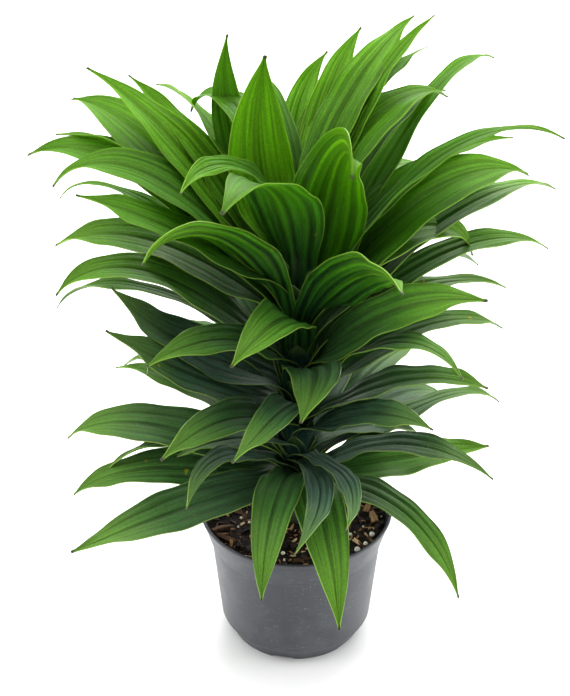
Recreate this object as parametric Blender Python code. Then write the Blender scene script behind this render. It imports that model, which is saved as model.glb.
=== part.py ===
"""Potted dracaena: a leafy cane in potting mix, in a thin charcoal nursery pot.

Real size, in metres, +Z up. The origin is the middle of the pot's underside. The compass
runs from +X (the viewer's right) towards +Y (away from the viewer), in degrees.
"""
import math
import random
from collections import namedtuple

import bmesh
import bpy
from mathutils import Matrix, Vector

MM = 0.001
GAP = 0.3 * MM
STEM_TRIANGLES = 11200
MIX_TRIANGLES = 2300

# Pot: outer sizes of a 16 cm nursery pot with a flared collar and a stepped-in foot
POT_HEIGHT = 120 * MM
RIM_RADIUS = 80 * MM
COLLAR_DEPTH = 26 * MM
COLLAR_FOOT_RADIUS = 72.6 * MM
BODY_TOP_RADIUS = 71.4 * MM
BODY_FOOT_RADIUS = 64 * MM
FOOT_HEIGHT = 14 * MM
FOOT_TOP_RADIUS = 61.5 * MM
BASE_RADIUS = 56 * MM
WALL = 1.4 * MM
LIP_THICKNESS = 2.2 * MM
LIP_DEPTH = 2.5 * MM
POT_SIDES = 72

# Drain slots: low arches bitten out of the corner between wall and floor
DRAIN_SLOTS = 6
DRAIN_FIRST_COMPASS = 259
DRAIN_WIDTH = 20 * MM
DRAIN_HEIGHT = 3.5 * MM
DRAIN_REACH = 8 * MM

# Potting mix: its top lies a finger's width under the rim
MIX_TOP = 110 * MM
MIX_EDGE_DROP = 1.5 * MM
MIX_SHOULDER = 4 * MM
MIX_LUMP = 1.6 * MM
LUMP_ALONG = 7 * MM
LUMP_AROUND = 11 * MM
LUMP_CROSS = 9 * MM
MIX_RINGS = 7
MIX_SIDES = 36
CHIP_SEED = 11
CHIP_FIELD = (24 * MM, 66 * MM)
CHIPS_TO_EDGE = 20
CHIP_COUNT = 30
CHIP_LENGTH = (9 * MM, 19 * MM)
CHIP_WIDTH = (4 * MM, 8 * MM)
CHIP_THICKNESS = 2.6 * MM
BEAD_COUNT = 12
BEAD_RADIUS = (1.5 * MM, 2.2 * MM)
BEAD_RISE = 0.6 * MM

# Cane: upright, a little thinner towards the growing tip
CANE_FOOT = 62 * MM
CANE_TOP = 388 * MM
CANE_RADIUS = 12.5 * MM
CANE_CROWN_RADIUS = 13.5 * MM
CANE_TIP_RADIUS = 7 * MM
CANE_CROWN_HEIGHT = 350 * MM
CANE_SIDES = 16
GOLDEN_ANGLE = 137.5

# Old leaf bases clasp the cane's foot: each row ends in three blunt teeth that stand off it
SHEATH_ROWS = 8
SHEATH_FIRST_HEIGHT = 118 * MM
SHEATH_STEP = 10 * MM
SHEATH_TEETH = 3
SHEATH_TOOTH_HEIGHT = 7 * MM
SHEATH_THICKNESS = 1.3 * MM

# Leaf blade: thickest at the midrib, sharp at its edges, a shallow gutter between them
BLADE_MIDDLE = 1.8 * MM
BLADE_STATIONS = (5, 8)
STATION_LENGTH = 34
STATION_BEND = 60
STEPS_PER_STATION = 6
ROLLED_BY = 0.3
SWEEP_POWER = 1.5
CLASP_SHARE = 0.36
WIDEST_AT = 0.42
SWELL_POWER = 1.25
TAPER_POWER = 1.9
TAPER_END = 0.9
TIP_SHARE = 0.035
GUTTER_ANGLE = 12
CLASP_ANGLE = 15
CLASP_LENGTH = 0.25
EDGE_WAVE = 1.3 * MM
EDGE_WAVES = 2.3
EDGE_SHIFT = 1.9
CALM_ROOT = 0.2
CALM_TIP = 0.15
LEAF_ROOT_DEPTH = 5 * MM

# One leaf: height of its root above the floor, compass it leaves by, its rise at the root and
# its pitch at the tip (degrees above level), how late it bends, length, sideways sweep (degrees),
# greatest width, and the roll of the blade about its own line. Lengths in mm.
Leaf = namedtuple("Leaf", "height compass rise fall bend length sweep width roll")

CROWN_LEAVES = [
    Leaf(305, 160, 58, 25, 2.0, 240, 0, 46, -10),
    Leaf(315, 150, 58, 30, 1.5, 210, 0, 36, -5),
    Leaf(295, 160, 52, -15, 2.8, 260, -25, 58, -15),
    Leaf(310, 160, 55, -10, 1.6, 235, 0, 38, 15),
    Leaf(305, 165, 50, -30, 2.2, 255, -5, 48, -15),
    Leaf(315, 180, 50, -60, 3.5, 225, -5, 44, -15),
    Leaf(285, 160, 40, -55, 3.0, 250, -20, 20, 5),
    Leaf(320, 195, 40, 20, 1.5, 185, -5, 42, -15),
    Leaf(305, 135, 60, -15, 2.8, 225, -5, 36, 30),
    Leaf(355, 130, 70, -70, 2.5, 180, 5, 40, 0),
    Leaf(330, 130, 45, 110, 2.0, 200, 0, 32, -25),
    Leaf(345, 155, 60, 105, 1.0, 165, 0, 50, -50),
    Leaf(335, 103, 75, -20, 1.8, 190, 5, 28, 0),
    Leaf(335, 100, 60, 20, 1.2, 195, -45, 30, 30),
    Leaf(335, 80, 60, 20, 1.4, 215, -20, 32, 35),
    Leaf(340, 90, 65, 20, 1.5, 140, -15, 20, 0),
    Leaf(345, 75, 65, -10, 1.2, 200, 0, 34, 30),
    Leaf(380, 55, 70, 10, 0.8, 200, 0, 34, 5),
    Leaf(350, 45, 65, 20, 1.5, 215, 0, 26, -10),
    Leaf(365, 50, 70, 0, 1.0, 200, 0, 22, -10),
    Leaf(355, 35, 65, -35, 2.0, 190, 5, 44, 5),
    Leaf(300, 40, 50, -30, 4.0, 285, 10, 30, -15),
    Leaf(320, 40, 60, -25, 2.2, 225, 15, 28, -15),
    Leaf(305, -20, 80, -70, 5.5, 190, -75, 64, -70),
    Leaf(295, 60, 55, -40, 1.6, 210, 5, 34, 0),
    Leaf(310, 0, 55, -30, 3.5, 250, -5, 30, 0),
    Leaf(310, 25, 55, -10, 1.6, 220, 0, 32, 0),
    Leaf(300, 10, 50, -35, 2.5, 225, 20, 54, 20),
    Leaf(385, 225, 55, -15, 1.5, 170, 30, 20, -30),
    Leaf(330, -105, 70, -20, 2.0, 205, -10, 58, 0),
]

MIDDLE_LEAVES = [
    Leaf(275, 10, 45, -35, 2.5, 260, 30, 36, 0),
    Leaf(290, 10, 60, -75, 2.0, 185, 15, 50, 20),
    Leaf(260, 10, 45, -40, 2.0, 240, 20, 30, 10),
    Leaf(240, 35, 45, -45, 1.8, 215, 5, 32, 0),
    Leaf(295, -50, 50, -10, 2.6, 170, -25, 48, -45),
    Leaf(250, -30, 50, 10, 1.8, 190, -5, 44, 35),
    Leaf(245, 15, 45, -30, 1.8, 190, 0, 32, 0),
    Leaf(220, 10, 40, -40, 2.0, 190, 15, 34, 0),
    Leaf(235, -35, 45, -30, 3.0, 190, -25, 28, 5),
    Leaf(205, -30, 40, 0, 2.5, 185, -10, 44, 5),
    Leaf(195, -50, 40, 10, 1.8, 180, -10, 30, 30),
    Leaf(220, -95, 40, -15, 1.4, 165, -30, 30, -15),
    Leaf(240, -70, 65, -30, 1.0, 125, -45, 44, 0),
    Leaf(275, -95, 65, -35, 1.3, 148, -40, 40, -20),
    Leaf(255, 225, 50, -15, 1.4, 162, -5, 32, -25),
    Leaf(230, 165, 45, -80, 1.5, 155, -10, 28, 0),
    Leaf(235, 190, 30, 60, 2.3, 180, 20, 44, -30),
    Leaf(220, 205, 30, 45, 1.7, 185, 5, 44, -30),
    Leaf(180, 150, 35, -45, 1.8, 185, -5, 32, 0),
    Leaf(295, 175, 40, -35, 2.0, 205, -10, 46, -15),
    Leaf(300, 210, 60, -60, 3.0, 170, 0, 46, 40),
    Leaf(260, 190, 45, -55, 3.5, 215, 5, 42, -15),
    Leaf(260, 180, 35, -60, 2.5, 215, -25, 20, 5),
    Leaf(155, 55, 30, -20, 1.5, 190, -5, 34, 0),
    Leaf(165, 40, 20, -25, 0.8, 175, 15, 36, 0),
    Leaf(140, 20, 30, -50, 2.5, 210, 15, 30, -10),
]

LOWEST_LEAVES = [
    Leaf(150, -30, 45, -25, 1.8, 190, -5, 32, 5),
    Leaf(150, -5, 15, 0, 2.0, 155, 15, 46, 10),
    Leaf(150, -40, 20, -60, 2.0, 190, -20, 30, 0),
    Leaf(175, -65, 25, 10, 1.8, 210, -40, 18, 0),
    Leaf(170, -75, 25, 0, 1.7, 205, -40, 22, 0),
    Leaf(155, -100, 35, -85, 2.0, 180, 0, 36, 0),
    Leaf(150, -80, 40, -65, 1.3, 195, 0, 40, 0),
    Leaf(150, 220, 15, -5, 1.0, 205, -10, 44, -15),
    Leaf(150, 185, 10, -50, 2.5, 190, -15, 38, -20),
    Leaf(165, 175, 15, -50, 3.0, 200, -15, 44, -20),
    Leaf(160, 180, 25, -60, 1.8, 170, -5, 22, 5),
    Leaf(200, 235, 40, -10, 1.6, 180, 0, 34, -30),
    Leaf(175, 150, 25, -20, 1.6, 180, 0, 40, 0),
    Leaf(160, 225, 40, -15, 2.0, 185, 40, 20, -15),
    Leaf(170, 170, 30, -85, 1.5, 120, -5, 20, 0),
    Leaf(185, 215, 30, -5, 1.5, 115, 5, 30, -5),
    Leaf(165, 165, 10, -5, 1.5, 140, -10, 32, 0),
    Leaf(180, 20, 20, -45, 0.9, 125, 20, 28, 0),
]

# Leaves of the side turned away follow the cane's own rule: a golden angle between neighbours
BACK_LEAVES = 12
BACK_FIRST_HEIGHT = 160
BACK_STEP = 14
BACK_COMPASS = 90
BACK_SPREAD = 105
BACK_RISE = (25, 63)
BACK_FALL = (-50, -30)
BACK_LENGTH = (180, 200)
BACK_WIDTH = 40
BACK_BEND = 1.6
BACK_STRAY = 8
BACK_SWAY = 12
BACK_SEED = 5

PLASTIC_COLOUR = (0.045, 0.048, 0.052)
MIX_COLOUR = (0.035, 0.018, 0.010)
LEAF_COLOUR = (0.045, 0.150, 0.020)


def clear_scene():
    """Remove every object, so that the model starts from nothing."""
    for existing in list(bpy.data.objects):
        bpy.data.objects.remove(existing, do_unlink=True)


def between(ends, share):
    """The value a share of the way from the first end to the second."""
    return ends[0] + (ends[1] - ends[0]) * share


def plain_material(name, colour, roughness):
    """A Principled BSDF material of one colour."""
    material = bpy.data.materials.new(name)
    material.use_nodes = True
    shader = material.node_tree.nodes["Principled BSDF"]
    shader.inputs["Base Color"].default_value = (*colour, 1.0)
    shader.inputs["Roughness"].default_value = roughness
    material.diffuse_color = (*colour, 1.0)
    return material


def new_object(name, mesh, collection=None):
    """Put a mesh in the scene as a named object."""
    item = bpy.data.objects.new(name, mesh)
    (collection or bpy.context.scene.collection).objects.link(item)
    return item


def mesh_from(name, bm):
    """Turn a bmesh into a mesh with its faces outwards, and free it."""
    bmesh.ops.recalc_face_normals(bm, faces=bm.faces)
    mesh = bpy.data.meshes.new(name)
    bm.to_mesh(mesh)
    bm.free()
    return mesh


def turned_solid(name, profile, sides):
    """Turn a closed loop of (radius, height) points about +Z; radius 0 closes at a pole."""
    bm = bmesh.new()
    rings = []
    for radius, height in profile:
        if radius == 0:
            rings.append([bm.verts.new((0, 0, height))])
            continue
        turns = [2 * math.pi * k / sides for k in range(sides)]
        rings.append([bm.verts.new((radius * math.cos(t), radius * math.sin(t), height)) for t in turns])
    pairs = list(zip(rings, rings[1:]))
    if len(rings[0]) > 1:
        pairs.append((rings[-1], rings[0]))
    for lower, upper in pairs:
        for k in range(sides):
            after = (k + 1) % sides
            corners = [lower[k % len(lower)], lower[after % len(lower)]]
            corners += [upper[after % len(upper)], upper[k % len(upper)]]
            bm.faces.new(list(dict.fromkeys(corners)))
    return new_object(name, mesh_from(name, bm))


def apply_boolean(target, collection, operation, solver="EXACT"):
    """Join or cut a whole collection at once, then remove the collection's objects."""
    modifier = target.modifiers.new("join", "BOOLEAN")
    modifier.operation = operation
    modifier.operand_type = "COLLECTION"
    modifier.collection = collection
    modifier.solver = solver
    depsgraph = bpy.context.evaluated_depsgraph_get()
    joined = bpy.data.meshes.new_from_object(target.evaluated_get(depsgraph))
    target.modifiers.clear()
    target.data = joined
    for tool in list(collection.objects):
        bpy.data.objects.remove(tool, do_unlink=True)
    bpy.data.collections.remove(collection)


def new_collection(name):
    """A collection in the scene, for the pieces of one Boolean."""
    collection = bpy.data.collections.new(name)
    bpy.context.scene.collection.children.link(collection)
    return collection


def shade(item, material, angle=40):
    """Give an object its material, smooth where its faces meet gently."""
    item.data.materials.clear()
    item.data.materials.append(material)
    item.data.shade_smooth()
    item.data.set_sharp_from_angle(angle=math.radians(angle))


def pot_outer():
    """The pot's outside as (radius, height) points, foot to rim."""
    collar_foot = POT_HEIGHT - COLLAR_DEPTH
    return [
        (BASE_RADIUS, 0),
        (FOOT_TOP_RADIUS, FOOT_HEIGHT - 1.5 * MM),
        (BODY_FOOT_RADIUS, FOOT_HEIGHT + 1 * MM),
        (BODY_TOP_RADIUS, collar_foot - 1 * MM),
        (COLLAR_FOOT_RADIUS, collar_foot),
        (RIM_RADIUS - LIP_THICKNESS + WALL, POT_HEIGHT - LIP_DEPTH),
        (RIM_RADIUS, POT_HEIGHT - LIP_DEPTH),
        (RIM_RADIUS, POT_HEIGHT - 0.8 * MM),
        (RIM_RADIUS - 0.7 * MM, POT_HEIGHT),
    ]


def pot_inner():
    """The pot's inside as (radius, height) points, rim to floor."""
    collar_foot = POT_HEIGHT - COLLAR_DEPTH
    return [
        (RIM_RADIUS - LIP_THICKNESS, POT_HEIGHT),
        (COLLAR_FOOT_RADIUS - WALL, collar_foot + WALL),
        (BODY_TOP_RADIUS - WALL, collar_foot),
        (BODY_FOOT_RADIUS - WALL, FOOT_HEIGHT + 2 * MM),
        (FOOT_TOP_RADIUS - WALL, FOOT_HEIGHT),
        (BASE_RADIUS - WALL, WALL),
    ]


def add_pot():
    """The pot: a turned shell with low drain arches round its foot."""
    profile = [(0, 0)] + pot_outer() + pot_inner() + [(0, WALL)]
    pot = turned_solid("pot", profile, POT_SIDES)
    cutters = new_collection("drain_cutters")
    for k in range(DRAIN_SLOTS):
        compass = math.radians(DRAIN_FIRST_COMPASS + k * 360 / DRAIN_SLOTS)
        bm = bmesh.new()
        bmesh.ops.create_cone(bm, cap_ends=True, segments=20, radius1=0.5, radius2=0.5, depth=1)
        arch = Matrix.Diagonal((DRAIN_HEIGHT * 2, DRAIN_WIDTH, DRAIN_REACH * 2, 1))
        lay_down = Matrix.Rotation(math.radians(90), 4, "Y")
        outwards = Matrix.Translation((BASE_RADIUS, 0, 0))
        bm.transform(Matrix.Rotation(compass, 4, "Z") @ outwards @ lay_down @ arch)
        new_object("drain_cutter", mesh_from("drain_cutter", bm), cutters)
    apply_boolean(pot, cutters, "DIFFERENCE")
    shade(pot, plain_material("charcoal_plastic", PLASTIC_COLOUR, 0.5))
    return pot


def mix_profile():
    """The potting mix's side and floor, a gap inside the pot's wall, up to its edge at the top."""
    profile = []
    for radius, height in pot_inner():
        if height < MIX_TOP - MIX_SHOULDER:
            profile.append((radius - GAP, height + (GAP if height <= WALL else 0)))
    inner_slope = (RIM_RADIUS - LIP_THICKNESS - COLLAR_FOOT_RADIUS + WALL) / (COLLAR_DEPTH - WALL)
    edge_height = MIX_TOP - MIX_EDGE_DROP
    edge = COLLAR_FOOT_RADIUS - WALL + inner_slope * (edge_height - POT_HEIGHT + COLLAR_DEPTH - WALL)
    profile.insert(0, (edge - GAP * 2, edge_height))
    return profile[::-1]


def lump(radius, compass):
    """Height of the mix's lumpy top above its level: slow waves that cross one another."""
    along = math.sin(radius / LUMP_ALONG + 2.1 * math.sin(3 * compass))
    around = math.sin(5 * compass + radius / LUMP_AROUND) * math.cos(8 * compass - radius / LUMP_CROSS)
    return MIX_LUMP * (0.5 * along + 0.6 * around)


def add_potting_mix():
    """The mix: it fills the pot, holds the cane in a plain hole, and shows chips and beads."""
    hole = CANE_RADIUS + GAP
    side = mix_profile()
    floor_height = CANE_FOOT - GAP
    bm = bmesh.new()
    turns = [2 * math.pi * k / MIX_SIDES for k in range(MIX_SIDES)]

    def ring(radius, height_of):
        return [bm.verts.new((radius * math.cos(t), radius * math.sin(t), height_of(t))) for t in turns]

    def flat(height):
        return lambda t: height

    def lumpy(radius):
        fade = min(1, (side[-1][0] - radius) / MIX_SHOULDER)
        return lambda t: side[-1][1] + fade * (MIX_EDGE_DROP + lump(radius, t))

    rings = [ring(radius, flat(height)) for radius, height in side]
    for k in range(1, MIX_RINGS + 1):
        radius = side[-1][0] + (hole - side[-1][0]) * k / MIX_RINGS
        rings.append(ring(radius, lumpy(radius)))
    rings.append(ring(hole, flat(floor_height)))
    for lower, upper in zip(rings, rings[1:]):
        for k in range(MIX_SIDES):
            after = (k + 1) % MIX_SIDES
            bm.faces.new((lower[k], lower[after], upper[after], upper[k]))
    bm.faces.new(rings[0][::-1])
    bm.faces.new(rings[-1])
    bmesh.ops.triangulate(bm, faces=bm.faces)
    mix = new_object("potting_mix", mesh_from("potting_mix", bm))
    add_chips_and_beads(mix)
    keep_main_skin(mix)
    drop_slivers(mix, MIX_TRIANGLES)
    shade(mix, plain_material("bark_mix", MIX_COLOUR, 0.9), 30)
    return mix


def add_chips_and_beads(mix):
    """Sink bark chips and pale beads half into the top of the mix, and join them to it."""
    draw = random.Random(CHIP_SEED)
    bits = new_collection("bits")
    for k in range(CHIP_COUNT + BEAD_COUNT):
        compass = math.radians(GOLDEN_ANGLE * k + draw.uniform(-20, 20))
        radius = between(CHIP_FIELD, math.sqrt(k % (CHIPS_TO_EDGE + 1) / CHIPS_TO_EDGE))
        height = MIX_TOP + lump(radius, compass)
        bm = bmesh.new()
        if k < CHIP_COUNT:
            bmesh.ops.create_cube(bm, size=1)
            size = (draw.uniform(*CHIP_LENGTH), draw.uniform(*CHIP_WIDTH), CHIP_THICKNESS)
            for corner in bm.verts:
                if corner.co.x > 0:
                    corner.co.y *= draw.uniform(0.35, 0.8)
                corner.co.z *= draw.uniform(0.7, 1.1)
            bm.transform(Matrix.Diagonal((*size, 1)))
            lean = Matrix.Rotation(draw.uniform(-0.25, 0.25), 4, "X")
            turn = Matrix.Rotation(draw.uniform(0, math.pi), 4, "Z")
            bm.transform(turn @ lean)
        else:
            bmesh.ops.create_icosphere(bm, subdivisions=1, radius=draw.uniform(*BEAD_RADIUS))
            height += BEAD_RISE
        place = Vector((radius * math.cos(compass), radius * math.sin(compass), height))
        bm.transform(Matrix.Translation(place))
        new_object("bit", mesh_from("bit", bm), bits)
    apply_boolean(mix, bits, "UNION")


def half_width(along):
    """A leaf's half width at a share of its length, as a share of the greatest half width."""
    if along < WIDEST_AT:
        swell = math.sin(math.pi / 2 * along / WIDEST_AT) ** SWELL_POWER
        return CLASP_SHARE + (1 - CLASP_SHARE) * swell
    taper = (along - WIDEST_AT) / (1 - WIDEST_AT)
    return max((1 - taper ** TAPER_POWER) ** TAPER_END, TIP_SHARE)


def leaf_frames(leaf):
    """For each station: share of length, centre, side and upward directions of the blade."""
    stations = round(leaf.length / STATION_LENGTH + abs(leaf.fall - leaf.rise) / STATION_BEND)
    stations = min(max(stations, BLADE_STATIONS[0]), BLADE_STATIONS[1])
    count = stations * STEPS_PER_STATION
    point = Vector((0, 0, leaf.height * MM))
    compass = math.radians(leaf.compass)
    point += Vector((math.cos(compass), math.sin(compass), 0)) * LEAF_ROOT_DEPTH
    frames = []
    for k in range(count + 1):
        along = k / count
        pitch = math.radians(leaf.rise + (leaf.fall - leaf.rise) * along ** leaf.bend)
        heading = math.radians(leaf.compass + leaf.sweep * along ** SWEEP_POWER)
        level = Vector((math.cos(heading), math.sin(heading), 0))
        forward = level * math.cos(pitch) + Vector((0, 0, math.sin(pitch)))
        if k:
            point = point + (forward + before).normalized() * (leaf.length * MM / count)
        before = forward
        if k % STEPS_PER_STATION:
            continue
        side = Vector((-math.sin(heading), math.cos(heading), 0))
        roll = math.radians(leaf.roll * min(along / ROLLED_BY, 1))
        turn = Matrix.Rotation(roll, 3, forward)
        frames.append((along, point.copy(), turn @ side, turn @ forward.cross(side)))
    return frames


def add_blade(leaf, phase, collection):
    """One leaf as a closed blade, split into triangles alike on its two faces."""
    bm = bmesh.new()
    rows = []
    for along, centre, side, up in leaf_frames(leaf):
        reach = leaf.width * MM / 2 * half_width(along)
        clasp = max(0, 1 - along / CLASP_LENGTH)
        fold = math.radians(GUTTER_ANGLE + CLASP_ANGLE * clasp)
        calm = min(1, along / CALM_ROOT) * min(1, (1 - along) / CALM_TIP)
        edges = []
        for across in (-1, 1):
            turn = 2 * math.pi * EDGE_WAVES * along + phase + EDGE_SHIFT * across
            lift = reach * math.sin(fold) + EDGE_WAVE * calm * math.sin(turn)
            edges.append(bm.verts.new(centre + side * (across * reach * math.cos(fold)) + up * lift))
        top = bm.verts.new(centre + up * BLADE_MIDDLE / 2)
        underside = bm.verts.new(centre - up * BLADE_MIDDLE / 2)
        rows.append((edges[0], top, edges[1], underside))
    for near, far in zip(rows, rows[1:]):
        for middle in (1, 3):
            for edge in (0, 2):
                bm.faces.new((near[edge], near[middle], far[middle]))
                bm.faces.new((near[edge], far[middle], far[edge]))
    for end in (rows[0], rows[-1]):
        bm.faces.new((end[0], end[1], end[3]))
        bm.faces.new((end[2], end[1], end[3]))
    return new_object("blade", mesh_from("blade", bm), collection)


def back_leaves():
    """The leaves of the side turned away, up the cane by the golden angle."""
    draw = random.Random(BACK_SEED)
    leaves = []
    for k in range(BACK_LEAVES):
        climb = k / (BACK_LEAVES - 1)
        turn = (GOLDEN_ANGLE * k) % BACK_SPREAD - BACK_SPREAD / 2
        leaves.append(Leaf(
            height=BACK_FIRST_HEIGHT + BACK_STEP * k,
            compass=BACK_COMPASS + turn,
            rise=between(BACK_RISE, climb),
            fall=between(BACK_FALL, climb) + draw.uniform(-BACK_STRAY, BACK_STRAY),
            bend=BACK_BEND,
            length=between(BACK_LENGTH, climb) + draw.uniform(-BACK_STRAY, BACK_STRAY),
            sweep=draw.uniform(-BACK_SWAY, BACK_SWAY),
            width=BACK_WIDTH + draw.uniform(-3, 3),
            roll=draw.uniform(-BACK_SWAY, BACK_SWAY),
        ))
    return leaves


def tooth_lift(compass, row):
    """How far up a leaf base reaches at this compass: teeth, half a tooth on from row to row."""
    share = (compass * SHEATH_TEETH / (2 * math.pi) + row / 2) % 1
    return SHEATH_TOOTH_HEIGHT * (1 - abs(2 * share - 1))


def add_cane():
    """The cane from its foot in the mix to its tip, with the old leaf bases in relief."""
    rings = [(CANE_RADIUS - 1 * MM, CANE_FOOT, None), (CANE_RADIUS, CANE_FOOT + 2 * MM, None)]
    rings.append((CANE_RADIUS, SHEATH_FIRST_HEIGHT - 2 * MM, None))
    for row in range(SHEATH_ROWS):
        height = SHEATH_FIRST_HEIGHT + SHEATH_STEP * row
        rings.append((CANE_RADIUS + SHEATH_THICKNESS, height, row))
        rings.append((CANE_RADIUS, height + 1 * MM, row))
    rings.append((CANE_CROWN_RADIUS, CANE_CROWN_HEIGHT, None))
    rings.append((CANE_TIP_RADIUS, CANE_TOP, None))
    bm = bmesh.new()
    made = []
    for radius, height, row in rings:
        ring = []
        for k in range(CANE_SIDES):
            compass = 2 * math.pi * k / CANE_SIDES
            lift = 0 if row is None else tooth_lift(compass, row)
            ring.append(bm.verts.new((radius * math.cos(compass), radius * math.sin(compass), height + lift)))
        made.append(ring)
    for lower, upper in zip(made, made[1:]):
        for k in range(CANE_SIDES):
            after = (k + 1) % CANE_SIDES
            bm.faces.new((lower[k], lower[after], upper[after]))
            bm.faces.new((lower[k], upper[after], upper[k]))
    bm.faces.new(made[0][::-1])
    bm.faces.new(made[-1])
    return new_object("leafy_stem", mesh_from("leafy_stem", bm))


def keep_main_skin(item):
    """Fill hollows that joining sealed and drop loose scraps: only the largest skin stays."""
    bm = bmesh.new()
    bm.from_mesh(item.data)
    waiting = set(bm.faces)
    skins = []
    while waiting:
        front = [waiting.pop()]
        skin = list(front)
        while front:
            face = front.pop()
            for edge in face.edges:
                for beside in edge.link_faces:
                    if beside in waiting:
                        waiting.remove(beside)
                        front.append(beside)
                        skin.append(beside)
        skins.append(skin)
    skins.sort(key=len)
    for skin in skins[:-1]:
        bmesh.ops.delete(bm, geom=skin, context="FACES")
    loose = [corner for corner in bm.verts if not corner.link_faces]
    bmesh.ops.delete(bm, geom=loose, context="VERTS")
    bmesh.ops.triangulate(bm, faces=bm.faces)
    bm.to_mesh(item.data)
    bm.free()


def drop_slivers(item, triangle_limit):
    """Collapse the least-telling short edges that joining left, down to a number of triangles."""
    modifier = item.modifiers.new("fewer", "DECIMATE")
    modifier.ratio = min(1, triangle_limit / len(item.data.polygons))
    depsgraph = bpy.context.evaluated_depsgraph_get()
    fewer = bpy.data.meshes.new_from_object(item.evaluated_get(depsgraph))
    item.modifiers.clear()
    item.data = fewer


def add_leafy_stem():
    """The cane with every leaf grown out of it, as one body."""
    stem = add_cane()
    blades = new_collection("blades")
    leaves = CROWN_LEAVES + MIDDLE_LEAVES + LOWEST_LEAVES + back_leaves()
    for k, leaf in enumerate(leaves):
        add_blade(leaf, math.radians(GOLDEN_ANGLE * k), blades)
    apply_boolean(stem, blades, "UNION")
    keep_main_skin(stem)
    drop_slivers(stem, STEM_TRIANGLES)
    shade(stem, plain_material("green_leaf", LEAF_COLOUR, 0.4), 50)
    return stem


def build():
    """Make the three pieces."""
    clear_scene()
    add_pot()
    add_potting_mix()
    add_leafy_stem()


build()
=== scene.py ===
"""Potted dracaena: dresses the packed model with fine leaves, cane, bark mix and nursery pot.

Laid out as an add-on and run as a script. The leaf chart is in millimetres and degrees, and
everything made from it is in metres, +Z up, with the origin under the middle of the pot. The
compass runs from +X, the viewer's right, towards +Y, away from the viewer.
"""
import math
import random
from collections import namedtuple

import bpy
from bpy.props import FloatProperty, FloatVectorProperty, IntProperty, PointerProperty
from mathutils import Matrix, Vector, noise


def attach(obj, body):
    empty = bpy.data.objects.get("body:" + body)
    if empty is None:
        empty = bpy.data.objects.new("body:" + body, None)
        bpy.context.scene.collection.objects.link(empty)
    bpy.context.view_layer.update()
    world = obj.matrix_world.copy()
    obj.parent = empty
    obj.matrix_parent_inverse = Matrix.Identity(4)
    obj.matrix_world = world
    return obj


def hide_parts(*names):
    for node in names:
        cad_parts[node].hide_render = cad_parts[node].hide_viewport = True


bl_info = {
    "name": "Potted dracaena",
    "version": (1, 0, 0),
    "blender": (4, 5, 0),
    "location": "View3D > Sidebar > Dracaena",
    "description": "Dresses a potted dracaena: leaves, cane, bark mix, nursery pot and studio",
    "category": "Add Mesh",
}

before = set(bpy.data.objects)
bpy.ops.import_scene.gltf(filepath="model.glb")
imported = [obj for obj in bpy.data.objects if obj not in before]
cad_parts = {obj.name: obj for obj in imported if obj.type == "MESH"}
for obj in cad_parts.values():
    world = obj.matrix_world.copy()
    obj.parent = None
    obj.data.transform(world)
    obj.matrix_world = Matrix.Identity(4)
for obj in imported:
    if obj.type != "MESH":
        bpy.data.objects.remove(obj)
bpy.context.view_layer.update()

MM = 0.001
GOLDEN_ANGLE = 137.5

# Pot: a 16 cm nursery pot with a flared collar and a stepped-in foot
POT_HEIGHT = 120 * MM
RIM_RADIUS = 80 * MM
COLLAR_DEPTH = 26 * MM
COLLAR_FOOT_RADIUS = 72.6 * MM
BODY_TOP_RADIUS = 71.4 * MM
BODY_FOOT_RADIUS = 64 * MM
FOOT_HEIGHT = 14 * MM
FOOT_TOP_RADIUS = 61.5 * MM
BASE_RADIUS = 56 * MM
WALL = 1.4 * MM
LIP_THICKNESS = 2.2 * MM
LIP_DEPTH = 2.5 * MM
POT_SIDES = 192
DRAIN_SLOTS = 6
DRAIN_FIRST_COMPASS = 259
DRAIN_WIDTH = 20 * MM
DRAIN_HEIGHT = 3.5 * MM
DRAIN_REACH = 8 * MM

# Potting mix, and the loose bits that lie in its top
MIX_TOP = 110 * MM
MIX_EDGE_RADIUS = 75.4 * MM
MIX_FLOOR = 1.8 * MM
MIX_GAP = 0.4 * MM
MIX_SIDES = 160
MIX_RINGS = 46
# Lumps, crumbs and grit of the mix's top, which die out over the calm strip along the wall
MIX_CALM = 5 * MM
LUMP_WIDTH = 9 * MM
CRUMB_WIDTH = 4.2 * MM
CRUMB_SHARE = 0.5
GRIT_WIDTH = 1.7 * MM
GRIT_SHARE = 0.28
CANE_HOLE = 12.8 * MM

# Big perlite beads that the photo shows: x, y and radius in millimetres
PERLITE_SPOTS = [
    (62, -28, 2.3), (56, -42, 2.0), (49, -49, 2.4), (44, -28, 1.4), (-46, -6, 1.2), (-39, -12, 1.2),
    (-48, -18, 1.0), (-11, -52, 1.7), (-10, -61, 1.2), (-22, 57, 1.8), (35, 52, 2.2), (12, 66, 1.4),
]
PERLITE_SEED = 31
PERLITE_FIELD = (17 * MM, 55 * MM)
PERLITE_GRAIN = (0.4, 0.9)
PERLITE_BUMPS = 0.16
PERLITE_RISE = 0.55

# Big chips that the photo shows: x, y, length and width in millimetres, turn and tone
BIG_CHIPS = [
    (-40, 52, 24, 8, 150, 0.95), (-29, 44, 19, 7, 120, 0.85), (46, 54, 20, 8, 60, 0.9),
    (64, -4, 14, 6, 100, 0.8), (60, 8, 12, 5, 70, 0.75), (-61, -20, 15, 4, 15, 0.55),
    (-56, -34, 17, 4, 150, 0.5), (-52, 30, 16, 5, 40, 0.8), (3, -61, 12, 4, 10, 0.45),
]
BIG_CHIP_THICKNESS = 2.4 * MM
BIG_CHIP_RISE = 0.8 * MM
CHIP_KINDS = 4
CHIP_SEED = 23
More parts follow.
